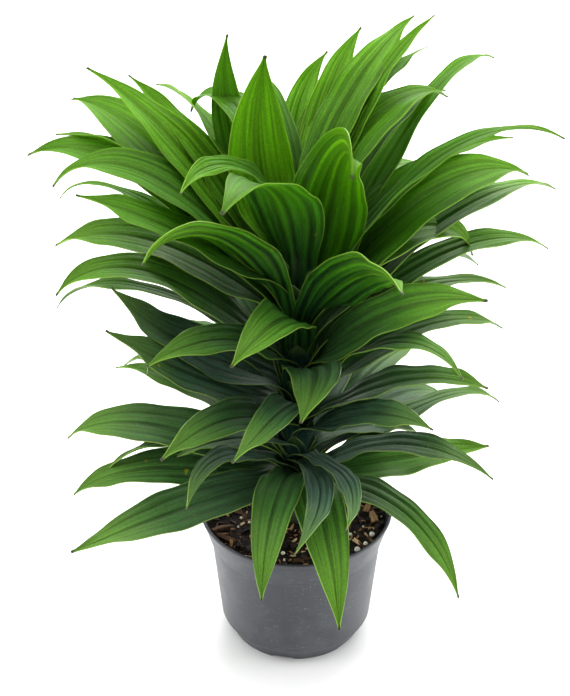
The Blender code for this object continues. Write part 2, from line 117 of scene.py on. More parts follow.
# Small chips start at the field's first radius and lie over its second, and none passes the reach
CHIP_FIELD = (15.5 * MM, 57 * MM)
CHIP_REACH = 74 * MM
CHIP_LENGTHS = (2, 2.5, 3, 4, 5, 6, 9)
CHIP_TONES = (0.06, 0.12, 0.18, 0.26, 0.36, 0.56, 0.78, 0.96)

# Cane and the old leaf bases that clasp it
CANE_FOOT = 62 * MM
CANE_TOP = 388 * MM
CANE_SHOULDER = 360 * MM
CANE_RADIUS = 12.4 * MM
CANE_WAIST = 0.5 * MM
CANE_TIP_RADIUS = 7 * MM
CANE_POINT_RADIUS = 3 * MM
CANE_SIDES = 48
CANE_RINGS = 13
CANE_FIRST_RING = 108
CANE_RING_STEP = 19
STUB_FIRST_HEIGHT = 109 * MM
STUB_STEP = 4 * MM
STUB_COUNT = 58
STUB_LENGTH = 30 * MM
STUB_SPREAD = 1.2
STUB_NARROWS_BY = 0.92
STUB_POINT_POWER = 1.6
STUB_STAND = 4.5 * MM
STUB_SINK = 0.6 * MM
STUB_RIB_HEIGHT = 0.4 * MM
STUB_RIBS = 9
STUB_THICKNESS = 0.9 * MM
STUB_ROWS = 10
STUB_COLUMNS = 12

# Leaf blades: rows along and columns across, and the form of the outline
BLADE_ROWS = 54
BLADE_COLUMNS = 24
ROLLED_BY = 0.3
SWEEP_POWER = 1.5
CLASP_SHARE = 0.36
WIDEST_AT = 0.42
SWELL_POWER = 1.25
TAPER_POWER = 1.9
TAPER_END = 0.9
TIP_SHARE = 0.085
TIP_FROM = 0.7
TIP_PINCH = 0.2
LEAF_ROOT_DEPTH = 5 * MM

# How a blade folds along its middle: at its clasp, all along and at its tip
GUTTER_ANGLE = 12
GUTTER_POWER = 1.2
CLASP_ANGLE = 15
CLASP_LENGTH = 0.25
TIP_FOLD_ANGLE = 28
TIP_FOLD_LENGTH = 0.2

# Waves of a blade's edges, calm at both ends, and the pleats between them
EDGE_WAVES = 2.3
EDGE_RIPPLES = 5.3
RIPPLE_SHARE = 0.45
RIPPLE_PHASE = 2.3
SIDE_PHASE = 1.9
EDGE_POWER = 1.6
CALM_ROOT = 0.2
CALM_TIP = 0.15
NARROW_PLEATS = 1.7
BROAD_SHARE = 0.62
NARROW_SHARE = 0.38
PLEAT_FADE = 0.4
PLEAT_AT_ROOT = 0.35
PLEAT_ROOT_LENGTH = 0.15
PLEAT_END = 0.97
PLEAT_TIP_LENGTH = 0.35

# How a blade's base wraps the cane, over its first stretch, before it leaves it
WRAP_LENGTH = 34 * MM
WRAP_SPREAD = 1.15
WRAP_POWER = 1.5
WRAP_GAP = 0.6 * MM
WRAP_FLARE = 0.55
WRAP_CLIMB = 0.8
WRAP_DIP = 5 * MM

# Share of the light that goes through a blade
YOUNG_GLOW = 0.48
GROWN_GLOW = 0.14
BASE_GLOW = 0.05

# Camera, worked out from the pot's rim and foot in the photo
CAMERA_AIM = Vector((-9.4, 0, 272)) * MM
CAMERA_DISTANCE = 1090 * MM
CAMERA_ELEVATION = 30.7
CAMERA_LENS = 72.4
CAMERA_SENSOR = 36

# Softboxes: name, place, the point they face, side in metres and the setting with their power
MIDDLE = (0, 0, 0.25)
SOFTBOXES = [
    ("left_softbox", (-1.7, -0.3, 0.8), MIDDLE, 1.1, "side_power"),
    ("right_softbox", (1.7, -0.1, 0.8), MIDDLE, 1.1, "side_power"),
    ("top_softbox", (0, 1.1, 2.6), (0, 1.1, 0), 4.0, "top_power"),
    ("back_softbox", (0.3, 2.0, 1.5), MIDDLE, 1.6, "back_power"),
]
FLOOR_SIDE = 14

# One leaf: height of its root above the floor, compass it leaves by, its rise at the root and
# its pitch at the tip (degrees above level), how late it bends, length, sideways sweep (degrees),
# greatest width, roll of the blade about its own line, and its tone, from 0, a young yellow-green
# leaf, to 1, the oldest bluish one.
Leaf = namedtuple("Leaf", "height compass rise fall bend length sweep width roll tone")

CROWN_LEAVES = [Leaf(*row) for row in (
    (305, 160, 58, 25, 2.0, 240, 0, 46, -10, 0.12), (315, 150, 58, 30, 1.5, 210, 0, 36, -5, 0.2),
    (295, 160, 52, -15, 2.8, 260, -25, 58, -15, 0.25), (310, 160, 55, -10, 1.6, 235, 0, 38, 15, 0.35),
    (305, 165, 50, -30, 2.2, 255, -5, 48, -15, 0.35), (315, 180, 50, -60, 3.5, 225, -5, 44, -15, 0.3),
    (285, 160, 40, -55, 3.0, 250, -20, 20, 5, 0.35), (320, 195, 40, 20, 1.5, 185, -5, 42, -15, 0.35),
    (305, 135, 60, -15, 2.8, 225, -5, 36, 30, 0.15), (355, 130, 70, -70, 2.5, 180, 5, 40, 0, 0.3),
    (330, 130, 45, 110, 2.0, 200, 0, 32, -25, 0.3), (345, 155, 60, 105, 1.0, 165, 0, 50, -50, 0),
    (335, 103, 75, -20, 1.8, 190, 5, 28, 0, 0.3), (335, 100, 60, 20, 1.2, 195, -45, 30, 30, 0.1),
    (335, 80, 60, 20, 1.4, 215, -20, 32, 35, 0), (340, 90, 65, 20, 1.5, 140, -15, 20, 0, 0.35),
    (345, 75, 65, -10, 1.2, 200, 0, 34, 30, 0), (380, 55, 70, 10, 0.8, 200, 0, 34, 5, 0.1),
    (350, 45, 65, 20, 1.5, 215, 0, 26, -10, 0.15), (365, 50, 70, 0, 1.0, 200, 0, 22, -10, 0.2),
    (355, 35, 65, -35, 2.0, 190, 5, 44, 5, 0.2), (300, 40, 50, -30, 4.0, 285, 10, 30, -15, 0.25),
    (320, 40, 60, -25, 2.2, 225, 15, 28, -15, 0.35), (305, -20, 80, -70, 5.5, 190, -75, 64, -70, 0.3),
    (295, 60, 55, -40, 1.6, 210, 5, 34, 0, 0.4), (310, 0, 55, -30, 3.5, 250, -5, 30, 0, 0.35),
    (310, 25, 55, -10, 1.6, 220, 0, 32, 0, 0.3), (300, 10, 50, -35, 2.5, 225, 20, 54, 20, 0.25),
    (385, 225, 55, -15, 1.5, 170, 30, 20, -30, 0.2), (330, -105, 70, -20, 2.0, 205, -10, 58, 0, 0.42),
)]

MIDDLE_LEAVES = [Leaf(*row) for row in (
    (275, 10, 45, -35, 2.5, 260, 30, 36, 0, 0.35), (290, 10, 60, -75, 2.0, 185, 15, 50, 20, 0.25),
    (260, 10, 45, -40, 2.0, 240, 20, 30, 10, 0.4), (240, 35, 45, -45, 1.8, 215, 5, 32, 0, 0.5),
    (295, -50, 50, -10, 2.6, 170, -25, 48, -45, 0.42), (250, -30, 50, 10, 1.8, 190, -5, 44, 35, 0.4),
    (245, 15, 45, -30, 1.8, 190, 0, 32, 0, 0.5), (220, 10, 40, -40, 2.0, 190, 15, 34, 0, 0.55),
    (235, -35, 45, -30, 3.0, 190, -25, 28, 5, 0.55), (205, -30, 40, 0, 2.5, 185, -10, 44, 5, 0.55),
    (195, -50, 40, 10, 1.8, 180, -10, 30, 30, 0.8), (220, -95, 40, -15, 1.4, 165, -30, 30, -15, 0.65),
    (240, -70, 65, -30, 1.0, 125, -45, 44, 0, 0.6), (275, -95, 65, -35, 1.3, 148, -40, 40, -20, 0.4),
    (255, 225, 50, -15, 1.4, 162, -5, 32, -25, 0.5), (230, 165, 45, -80, 1.5, 155, -10, 28, 0, 0.45),
    (235, 190, 30, 60, 2.3, 180, 20, 44, -30, 0.9), (220, 205, 30, 45, 1.7, 185, 5, 44, -30, 0.8),
    (180, 150, 35, -45, 1.8, 185, -5, 32, 0, 0.6), (295, 175, 40, -35, 2.0, 205, -10, 46, -15, 0.35),
    (300, 210, 60, -60, 3.0, 170, 0, 46, 40, 0.35), (260, 190, 45, -55, 3.5, 215, 5, 42, -15, 0.4),
    (260, 180, 35, -60, 2.5, 215, -25, 20, 5, 0.5), (155, 55, 30, -20, 1.5, 190, -5, 34, 0, 0.7),
    (165, 40, 20, -25, 0.8, 175, 15, 36, 0, 0.6), (140, 20, 30, -50, 2.5, 210, 15, 30, -10, 0.6),
)]

LOWEST_LEAVES = [Leaf(*row) for row in (
    (150, -30, 45, -25, 1.8, 190, -5, 32, 5, 0.8), (150, -5, 15, 0, 2.0, 155, 15, 46, 10, 0.35),
    (150, -40, 20, -60, 2.0, 190, -20, 30, 0, 0.45), (175, -65, 25, 10, 1.8, 210, -40, 18, 0, 0.95),
    (170, -75, 25, 0, 1.7, 205, -40, 22, 0, 1), (155, -100, 35, -85, 2.0, 180, 0, 36, 0, 0.45),
    (150, -80, 40, -65, 1.3, 195, 0, 40, 0, 0.35), (150, 220, 15, -5, 1.0, 205, -10, 44, -15, 0.55),
    (150, 185, 10, -50, 2.5, 190, -15, 38, -20, 0.5), (165, 175, 15, -50, 3.0, 200, -15, 44, -20, 0.55),
    (160, 180, 25, -60, 1.8, 170, -5, 22, 5, 0.6), (200, 235, 40, -10, 1.6, 180, 0, 34, -30, 0.6),
    (175, 150, 25, -20, 1.6, 180, 0, 40, 0, 0.4), (160, 225, 40, -15, 2.0, 185, 40, 20, -15, 0.9),
    (170, 170, 30, -85, 1.5, 120, -5, 20, 0, 0.35), (185, 215, 30, -5, 1.5, 115, 5, 30, -5, 0.9),
    (165, 165, 10, -5, 1.5, 140, -10, 32, 0, 0.9), (180, 20, 20, -45, 0.9, 125, 20, 28, 0, 0.9),
)]

# Leaves of the side turned away follow the cane's own rule: a golden angle between neighbours,
# and values that run from the lowest of them to the highest
BACK_LEAVES = 12
BACK_FIRST_HEIGHT = 160
BACK_STEP = 14
BACK_COMPASS = 90
BACK_SPREAD = 105
BACK_RISE = (25, 63)
BACK_FALL = (-50, -30)
BACK_BEND = 1.6
BACK_LENGTH = (180, 200)
BACK_WIDTH = 40
BACK_WIDTH_STRAY = 3
BACK_TONE = (0.85, 0.3)
BACK_STRAY = 8
BACK_SWAY = 12
BACK_SEED = 5


def linear(hex_colour):
    """An sRGB hex colour as linear red, green and blue, with full alpha."""
    channels = [int(hex_colour[k:k + 2], 16) / 255 for k in (1, 3, 5)]
    return (*(c / 12.92 if c <= 0.04045 else ((c + 0.055) / 1.055) ** 2.4 for c in channels), 1.0)


class LeafSettings(bpy.types.PropertyGroup):
    """Sizes and colours of the leaf blades."""
    thickness: FloatProperty(
        name="Thickness", description="Thickness of a blade", default=0.75 * MM, unit="LENGTH")
    pleat_height: FloatProperty(
        name="Pleat height", description="Half height of the lengthwise pleats",
        default=0.8 * MM, unit="LENGTH")
    pleats: FloatProperty(name="Pleats", description="Pleats across half a blade", default=2.2)
    edge_wave: FloatProperty(
        name="Edge wave", description="Half height of the wave along a blade's edge",
        default=1.7 * MM, unit="LENGTH")
    margin_colour: FloatVectorProperty(
        name="Margin", description="The thin pale line along a blade's edge", subtype="COLOR",
        size=4, default=linear("#8eb13f"))
    tip_colour: FloatVectorProperty(
        name="Tip", description="The dry point of a blade", subtype="COLOR", size=4,
        default=linear("#4d4b3c"))


class PotSettings(bpy.types.PropertyGroup):
    """Finish of the nursery pot."""
    plastic_colour: FloatVectorProperty(
        name="Plastic", description="Charcoal of the moulded pot", subtype="COLOR", size=4,
        default=linear("#2e3137"))
    roughness: FloatProperty(
        name="Roughness", description="How satin the plastic is", default=0.42, subtype="FACTOR")


class MixSettings(bpy.types.PropertyGroup):
    """Sizes of what lies in the top of the pot."""
    lump: FloatProperty(
        name="Lump", description="Half height of the lumps in the mix", default=1.8 * MM, unit="LENGTH")
    chips: IntProperty(name="Chips", description="How many bark chips lie in the top", default=900)
    grains: IntProperty(name="Perlite", description="Small perlite grains beside the big ones", default=26)


class StudioSettings(bpy.types.PropertyGroup):
    """Floor and light round the plant."""
    floor_colour: FloatVectorProperty(
        name="Floor", description="Pale floor", subtype="COLOR", size=4, default=linear("#f1f1f1"))
    side_power: FloatProperty(
        name="Side light", description="Power of each side softbox", default=16, unit="POWER")
    top_power: FloatProperty(
        name="Top light", description="Power of the overhead softbox", default=190, unit="POWER")
    back_power: FloatProperty(
        name="Back light", description="Power of the softbox beyond the plant", default=50, unit="POWER")
    air: FloatProperty(name="Air", description="Brightness of the white surroundings", default=0.68)


def set_inputs(tree, node, inputs):
    """Set or link a node's inputs, by name or in their order."""
    for name, value in inputs.items() if isinstance(inputs, dict) else enumerate(inputs):
        if isinstance(value, bpy.types.NodeSocket):
            tree.links.new(value, node.inputs[name])
        else:
            node.inputs[name].default_value = value


def add_node(tree, kind, inputs=(), output=0, **settings):
    """Add a node with its settings and inputs, and give back one of its outputs."""
    node = tree.nodes.new("ShaderNode" + kind)
    for name, value in settings.items():
        setattr(node, name, value)
    set_inputs(tree, node, inputs)
    return node.outputs[output]


def blank_material(name):
    """A new material with its node tree and Principled shader."""
    material = bpy.data.materials.new(name)
    material.use_nodes = True
    return material, material.node_tree, material.node_tree.nodes["Principled BSDF"]


def lay_stops(ramp, stops):
    """Lay colours along a ramp, from (place, hex) stops."""
    while len(ramp.elements) < len(stops):
        ramp.elements.new(0.5)
    for element, (place, colour) in zip(ramp.elements, stops):
        element.position = place
        element.color = linear(colour)


def weighted(tree, value, by, low, high, to_low=0.0, to_high=1.0):
    """A value times a second one, which is first carried from one range to another."""
    weight = add_node(tree, "MapRange", [by, low, high, to_low, to_high])
    return add_node(tree, "Math", [value, weight], operation="MULTIPLY")


def drifting(tree, uv, world, scale):
    """Places on a blade or chip, stretched, and shifted by where it lies, so that no two match."""
    stretched = add_node(tree, "Mapping", {"Vector": uv, "Scale": scale})
    return add_node(tree, "VectorMath", [stretched, world], operation="ADD")


def leaf_material(name, settings, underside, glow_share):
    """A living dracaena leaf, grown and waxy.

    The skin's wax gives the long soft sheen, helped by a painted sheen on the outer half, and the flesh
    behind it lets light through.
    veins run along the blade, so they follow its UV map: U goes across and V from root to tip.
    """
    material, tree, shader = blank_material(name)
    world = add_node(tree, "TexCoord", output="Object")
    uv = add_node(tree, "UVMap", uv_map="UVMap")
    u = add_node(tree, "SeparateXYZ", [uv])
    along = u.node.outputs[1]
    signed = add_node(tree, "Math", [u, 2.0, -1.0], operation="MULTIPLY_ADD")
    across = add_node(tree, "Math", [signed], operation="ABSOLUTE")
    tone = add_node(tree, "Attribute", output="Fac", attribute_name="tone")
    # Paler and deeper patches about 45 mm wide, and a mottle of 1.6 mm
    patches = add_node(tree, "TexNoise", {"Vector": world, "Scale": 22.0})
    mottle = add_node(tree, "TexNoise", {"Vector": world, "Scale": 620.0, "Detail": 3.0, "Roughness": 0.7})

    # Veins lie about 1.3 mm apart across a 44 mm blade, and each can be followed for a third of it
    veins = drifting(tree, uv, world, (34, 2.2, 1))
    veins = add_node(tree, "TexNoise", {"Vector": veins, "Scale": 1.0, "Detail": 3.0, "Roughness": 0.6})
    # Streaks 3 to 4 mm wide run the whole blade between the veins
    streaks = drifting(tree, uv, world, (13, 0.7, 1))
    streaks = add_node(tree, "TexNoise", {"Vector": streaks, "Scale": 1.0})
    # Pale and deep bands of painted light and shade lie on the pleats' crests and in their grooves, and
    # wander over 70 mm
    wander = add_node(tree, "TexNoise", {"Vector": world, "Scale": 14.0, "Detail": 1.0})
    wander = add_node(tree, "Math", [wander, 2.4, -1.2], operation="MULTIPLY_ADD")
    turn = add_node(tree, "Math", [signed, 2 * math.pi * settings.pleats], operation="MULTIPLY")
    broad = add_node(tree, "Math", [wander, 0.5, turn], operation="MULTIPLY_ADD")
    broad = add_node(tree, "Math", [broad], operation="COSINE")
    narrow = add_node(tree, "Math", [turn, NARROW_PLEATS, wander], operation="MULTIPLY_ADD")
    narrow = add_node(tree, "Math", [narrow], operation="COSINE")
    pleat = add_node(tree, "Math", [broad, 0.55], operation="MULTIPLY")
    pleat = add_node(tree, "Math", [narrow, 0.45, pleat], operation="MULTIPLY_ADD")
    pleat = weighted(tree, pleat, along, 0.45, 0.95, 1.0, 0.25)
    pleat = weighted(tree, pleat, tone, 0.3, 0.9, 1.0, 0.55)

    # A leaf is oldest and bluest at its root, and turns yellow-green towards its tip; the darkening towards
    # its root is partly its own colour and partly painted shade
    age_and_shade = add_node(tree, "Math", [along, -0.56, 0.35], operation="MULTIPLY_ADD")
    age_and_shade = add_node(tree, "Math", [age_and_shade, tone], operation="ADD")
    # The pleats shift the colour too: painted light on the crests and painted shade in the grooves, the
    # other way round on the underside
    for part, share in ((patches, 0.20), (pleat, 0.05 if underside else -0.16)):
        age_and_shade = add_node(tree, "Math", [part, share, age_and_shade], operation="MULTIPLY_ADD")
    age_and_shade = add_node(tree, "Math", [age_and_shade, 0.08], operation="SUBTRACT")
    if underside:
        stops = [(0, "#5c930c"), (0.3, "#407214"), (0.55, "#2f5824"), (0.8, "#2f4e34"), (1, "#385445")]
    else:
        stops = [
            (0, "#8cbc22"), (0.12, "#669c06"), (0.27, "#417c06"), (0.49, "#275910"), (0.74, "#183b1c"),
            (1, "#203b35"),
        ]
    skin = add_node(tree, "ValToRGB", [age_and_shade])
    lay_stops(skin.node.color_ramp, stops)
    light = add_node(tree, "MapRange", [veins, 0.41, 0.58, 0.60, 1.18], interpolation_type="SMOOTHSTEP")
    light = weighted(tree, light, streaks, 0.34, 0.66, 0.74, 1.24)
    # Painted light and shade across the pleats: the face is lightened on the crests and darkened in the
    # grooves, the underside the other way round
    groove_light, crest_light = (1.1, 0.92) if underside else (0.68, 1.22)
    painted_pleat_shading = add_node(tree, "MapRange", [pleat, -0.6, 0.5, groove_light, crest_light], interpolation_type="SMOOTHSTEP")
    light = add_node(tree, "Math", [light, painted_pleat_shading], operation="MULTIPLY")
    light = weighted(tree, light, mottle, 0.35, 0.65, 0.76, 1.26)
    grey = add_node(tree, "CombineColor", [light, light, light])
    skin = add_node(tree, "Mix", {0: 1.0, 6: skin, 7: grey}, 2, data_type="RGBA", blend_type="MULTIPLY")

    # Mineral specks of a millimetre or so, left where drops dried on the older leaves
    speck = add_node(tree, "TexVoronoi", {"Vector": world, "Scale": 260.0}, "Distance")
    speck = add_node(tree, "MapRange", [speck, 0.16, 0.08])
    chosen = add_node(tree, "TexNoise", {"Vector": world, "Scale": 60.0})
    speck = weighted(tree, weighted(tree, speck, chosen, 0.56, 0.66), tone, 0.3, 0.8, 0.0, 0.75)
    # A thin painted sheen pales the outer half of a blade
    painted_tip_sheen = weighted(tree, add_node(tree, "MapRange", [tone, 0.0, 0.6, 0.10, 0.32]), along, 0.6, 1.0)
    # A few yellowed spots, 2 to 4 mm wide, where the blade was bruised
    bruise = add_node(tree, "TexNoise", {"Vector": world, "Scale": 95.0, "Detail": 1.0})
    bruise = add_node(tree, "MapRange", [bruise, 0.775, 0.81], interpolation_type="SMOOTHSTEP")
    bruise = weighted(tree, bruise, tone, 0.25, 0.5, 0.0, 0.8)
    # The pale margin is half a millimetre wide on a middling blade, and the point is dry
    margin = add_node(tree, "MapRange", [across, 0.968, 0.99], interpolation_type="SMOOTHSTEP")
    margin = weighted(tree, margin, tone, 0.0, 1.0, 0.6, 0.3)
    dry = add_node(tree, "Math", [patches, 0.01, along], operation="MULTIPLY_ADD")
    dry = add_node(tree, "MapRange", [dry, 0.985, 1.0], interpolation_type="SMOOTHSTEP")
    layers = (
        (speck, linear("#9db397")), (painted_tip_sheen, linear("#85ad48")), (bruise, linear("#8f8a1c")),
        (margin, settings.margin_colour), (dry, settings.tip_colour),
    )
    for share, tint in layers:
        skin = add_node(tree, "Mix", {0: share, 6: skin, 7: tint}, 2, data_type="RGBA")

    smoothest, roughest = (0.46, 0.56) if underside else (0.30, 0.43)
    gloss = add_node(tree, "MapRange", [veins, 0.3, 0.7, smoothest, roughest])
    gloss = add_node(tree, "Math", [speck, 0.3, gloss], operation="MULTIPLY_ADD")
    ribs = add_node(tree, "Math", [streaks, 1.2, veins], operation="MULTIPLY_ADD")
    ribs = add_node(tree, "Math", [mottle, 0.12, ribs], operation="MULTIPLY_ADD")
    bump = add_node(tree, "Bump", {"Height": ribs, "Strength": 0.8, "Distance": 0.8 * MM})
    set_inputs(tree, shader, {
        "Base Color": skin, "Roughness": gloss, "Normal": bump, "IOR": 1.42,
        "Specular IOR Level": 0.35 if underside else 0.6, "Specular Tint": linear("#f3ffbf"),
    })
    # Light that comes through the flesh is yellower than what the skin throws back
    glow = add_node(tree, "Mix", {0: 0.5, 6: skin, 7: linear("#9ccf08")}, 2, data_type="RGBA")
    through = add_node(tree, "BsdfTranslucent", {"Color": glow, "Normal": bump})
    both = add_node(tree, "MixShader", [glow_share, shader.outputs[0], through])
    tree.links.new(both, tree.nodes["Material Output"].inputs["Surface"])
    return material


def cane_material():
    """A living cane, grown: dull grey-green skin in fine rings, fresh green at its growing tip."""
    material, tree, shader = blank_material("living_cane_skin")
    world = add_node(tree, "TexCoord", output="Object")
    # Rings 1.4 mm apart, in patches 11 mm wide
    rings = add_node(tree, "Mapping", {"Vector": world, "Scale": (160, 160, 700)})
    grain = add_node(tree, "TexNoise", {"Vector": rings, "Scale": 1.0, "Detail": 4.0, "Roughness": 0.6})
    patches = add_node(tree, "TexNoise", {"Vector": world, "Scale": 90.0, "Detail": 3.0})
    value = add_node(tree, "Math", [grain, 0.55], operation="MULTIPLY")
    value = add_node(tree, "Math", [patches, 0.45, value], operation="MULTIPLY_ADD")
    bark = add_node(tree, "ValToRGB", [value])
    stops = [(0.2, "#161f14"), (0.45, "#2b3824"), (0.62, "#454f33"), (0.85, "#6b6742")]
    lay_stops(bark.node.color_ramp, stops)
    height = add_node(tree, "SeparateXYZ", [world], "Z")
    fresh = add_node(tree, "MapRange", [height, 325 * MM, 355 * MM], interpolation_type="SMOOTHSTEP")
    skin = add_node(tree, "Mix", {0: fresh, 6: bark, 7: linear("#3f7a0c")}, 2, data_type="RGBA")
    bump = add_node(tree, "Bump", {"Height": grain, "Strength": 0.6, "Distance": 0.4 * MM})
    set_inputs(tree, shader, {"Base Color": skin, "Roughness": 0.62, "Normal": bump})
    return material


def pot_material(settings):
    """Polypropylene, injection moulded: satin charcoal, scuffed in handling and dusted with mix.

    Broad soft reflections come from the satin skin, and the scuffs break them into pale hairlines.
    """
    material, tree, shader = blank_material("moulded_polypropylene")
    world = add_node(tree, "TexCoord", output="Object")
    cloud = add_node(tree, "TexNoise", {"Vector": world, "Scale": 40.0, "Detail": 5.0, "Roughness": 0.65})
    # Scuffs are hairlines a few millimetres long that run round the pot
    scuffs = add_node(tree, "Mapping", {"Vector": world, "Scale": (90, 90, 900)})
    scuffs = add_node(tree, "TexNoise", {"Vector": scuffs, "Scale": 1.0, "Detail": 3.0, "Roughness": 0.65})
    scuffs = add_node(tree, "MapRange", [scuffs, 0.60, 0.75])
    # Dust sits as specks under a millimetre, and as a film that is thicker near the foot
    dust = add_node(tree, "TexVoronoi", {"Vector": world, "Scale": 330.0}, "Distance")
    dust = add_node(tree, "MapRange", [dust, 0.15, 0.07])
    chosen = add_node(tree, "TexNoise", {"Vector": world, "Scale": 75.0})
    dust = weighted(tree, dust, chosen, 0.46, 0.60)
    height = add_node(tree, "SeparateXYZ", [world], "Z")
    film = add_node(tree, "MapRange", [cloud, 0.42, 0.72])
    film = weighted(tree, film, height, 80 * MM, 5 * MM, 0.25, 1.0)
    colour = settings.plastic_colour
    for layer, share, tint in ((film, 0.24, "#8b9096"), (scuffs, 0.22, "#a5abb0"), (dust, 0.5, "#b9b8b2")):
        share = add_node(tree, "Math", [layer, share], operation="MULTIPLY")
        colour = add_node(tree, "Mix", {0: share, 6: colour, 7: linear(tint)}, 2, data_type="RGBA")
    rough = add_node(
        tree, "MapRange", [cloud, 0.3, 0.7, settings.roughness - 0.06, settings.roughness + 0.08])
    rough = add_node(tree, "Math", [dust, 0.3, rough], operation="MULTIPLY_ADD")
    # The mould's fine grain, about a millimetre wide
    skin = add_node(tree, "TexNoise", {"Vector": world, "Scale": 900.0})
    skin = add_node(tree, "Math", [scuffs, 0.5, skin], operation="MULTIPLY_ADD")
    bump = add_node(tree, "Bump", {"Height": skin, "Strength": 0.25, "Distance": 0.15 * MM})
    set_inputs(tree, shader, {"Base Color": colour, "Roughness": rough, "Normal": bump, "IOR": 1.49})
    return material


def mix_material():
    """Composted bark and peat, milled: near-black crumbs that drink the light."""
    material, tree, shader = blank_material("composted_bark_mix")
    world = add_node(tree, "TexCoord", output="Object")
    # Crumbs of 2.4 mm in patches of 9 mm
    crumbs = add_node(tree, "TexNoise", {"Vector": world, "Scale": 420.0, "Detail": 5.0, "Roughness": 0.7})
    patches = add_node(tree, "TexNoise", {"Vector": world, "Scale": 110.0, "Detail": 3.0})
    value = add_node(tree, "Math", [crumbs, 0.5], operation="MULTIPLY")
    value = add_node(tree, "Math", [patches, 0.5, value], operation="MULTIPLY_ADD")
    colour = add_node(tree, "ValToRGB", [value])
    stops = [(0.3, "#070504"), (0.5, "#150f0b"), (0.64, "#2a1c13"), (0.78, "#4d3623")]
    lay_stops(colour.node.color_ramp, stops)
    bump = add_node(tree, "Bump", {"Height": crumbs, "Strength": 0.9, "Distance": 1.2 * MM})
    set_inputs(tree, shader, {
        "Base Color": colour, "Roughness": 0.85, "Specular IOR Level": 0.15, "Normal": bump})
    return material


def chip_material():
    """Pine bark, chipped: fibres show as fine streaks, from wet black-brown to fresh orange-tan."""
    material, tree, shader = blank_material("chipped_pine_bark")
    world = add_node(tree, "TexCoord", output="Object")
    uv = add_node(tree, "UVMap", uv_map="UVMap")
    tone = add_node(tree, "Attribute", output="Fac", attribute_name="tone")
    # Fibres run along a chip, a few tenths of a millimetre wide
    fibres = drifting(tree, uv, world, (3, 26, 1))
    fibres = add_node(tree, "TexNoise", {"Vector": fibres, "Scale": 1.0, "Detail": 4.0, "Roughness": 0.65})
    value = add_node(tree, "MapRange", [fibres, 0.3, 0.7, -0.14, 0.14])
    value = add_node(tree, "Math", [tone, value], operation="ADD")
    colour = add_node(tree, "ValToRGB", [value])
    lay_stops(colour.node.color_ramp, [
        (0, "#0a0705"), (0.25, "#1e140d"), (0.5, "#46301f"), (0.72, "#7a5738"), (0.88, "#a07a4e"),
        (1, "#cdb38a"),
    ])
    bump = add_node(tree, "Bump", {"Height": fibres, "Strength": 0.7, "Distance": 0.5 * MM})
    set_inputs(tree, shader, {
        "Base Color": colour, "Roughness": 0.72, "Specular IOR Level": 0.2, "Normal": bump})
    return material


def perlite_material():
    """Perlite, puffed volcanic glass: chalk-white froth that light sinks a little way into."""
    material, tree, shader = blank_material("puffed_perlite")
    world = add_node(tree, "TexCoord", output="Object")
    # Pores of 0.7 mm
    pores = add_node(tree, "TexNoise", {"Vector": world, "Scale": 1500.0, "Detail": 3.0, "Roughness": 0.6})
    colour = add_node(tree, "ValToRGB", [pores])
    lay_stops(colour.node.color_ramp, [(0.3, "#b9ad98"), (0.5, "#ebe4d6"), (0.7, "#fbf8f0")])
    bump = add_node(tree, "Bump", {"Height": pores, "Strength": 0.6, "Distance": 0.3 * MM})
    set_inputs(tree, shader, {"Base Color": colour, "Roughness": 0.9, "Normal": bump})
    return material


def deselect():
    """Leave nothing selected before an operator acts."""
    if bpy.context.object and bpy.context.object.mode != "OBJECT":
        bpy.ops.object.mode_set(mode="OBJECT")
    bpy.ops.object.select_all(action="DESELECT")


def pick(item):
    """Make one object the selected and active one."""
    deselect()
    item.select_set(True)
    bpy.context.view_layer.objects.active = item


def settle(item):
    """Carry an object's place, turn and size into its mesh."""
    pick(item)
    bpy.ops.object.transform_apply(location=True, rotation=True, scale=True)


def apply_modifiers(item):
    """Apply the modifiers in their order."""
    pick(item)
    for modifier in list(item.modifiers):
        bpy.ops.object.modifier_apply(modifier=modifier.name)


def join(pieces, name):
    """Join pieces into one object of that name."""
    deselect()
    for piece in pieces:
        piece.select_set(True)
    bpy.context.view_layer.objects.active = pieces[0]
    bpy.ops.object.join()
    joined = bpy.context.object
    joined.name = name
    joined.data.name = name
    return joined


def copy_of(pattern, name):
    """A copy of a pattern piece, with its own mesh."""
    copy = pattern.copy()
    copy.data = pattern.data.copy()
    copy.name = name
    bpy.context.scene.collection.objects.link(copy)
    return copy


def discard(item):
    """Remove a pattern or cutter that has done its work."""
    mesh = item.data
    bpy.data.objects.remove(item, do_unlink=True)
    bpy.data.meshes.remove(mesh)


def give_tone(mesh, tone):
    """Store a tone on every corner of a mesh, for its material to read."""
    layer = mesh.attributes.get("tone") or mesh.attributes.new("tone", "FLOAT", "POINT")
    layer.data.foreach_set("value", [tone] * len(mesh.vertices))


def finish_piece(item, slot, *nodes, angle=60):
    """Shade a piece, let it ride on the root and stand for CAD nodes."""
    pick(item)
    bpy.ops.object.shade_smooth_by_angle(angle=math.radians(angle))
    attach(item, "root")
    if nodes:
        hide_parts(*nodes)


def half_width(along):
    """A leaf's half width at a share of its length, as a share of the greatest half width."""
    if along < WIDEST_AT:
        swell = math.sin(math.pi / 2 * along / WIDEST_AT) ** SWELL_POWER
        return CLASP_SHARE + (1 - CLASP_SHARE) * swell
    taper = (along - WIDEST_AT) / (1 - WIDEST_AT)
    pinch = 1 - TIP_PINCH * max(0, (taper - TIP_FROM) / (1 - TIP_FROM))
    return max((1 - taper ** TAPER_POWER) ** TAPER_END * pinch, TIP_SHARE)


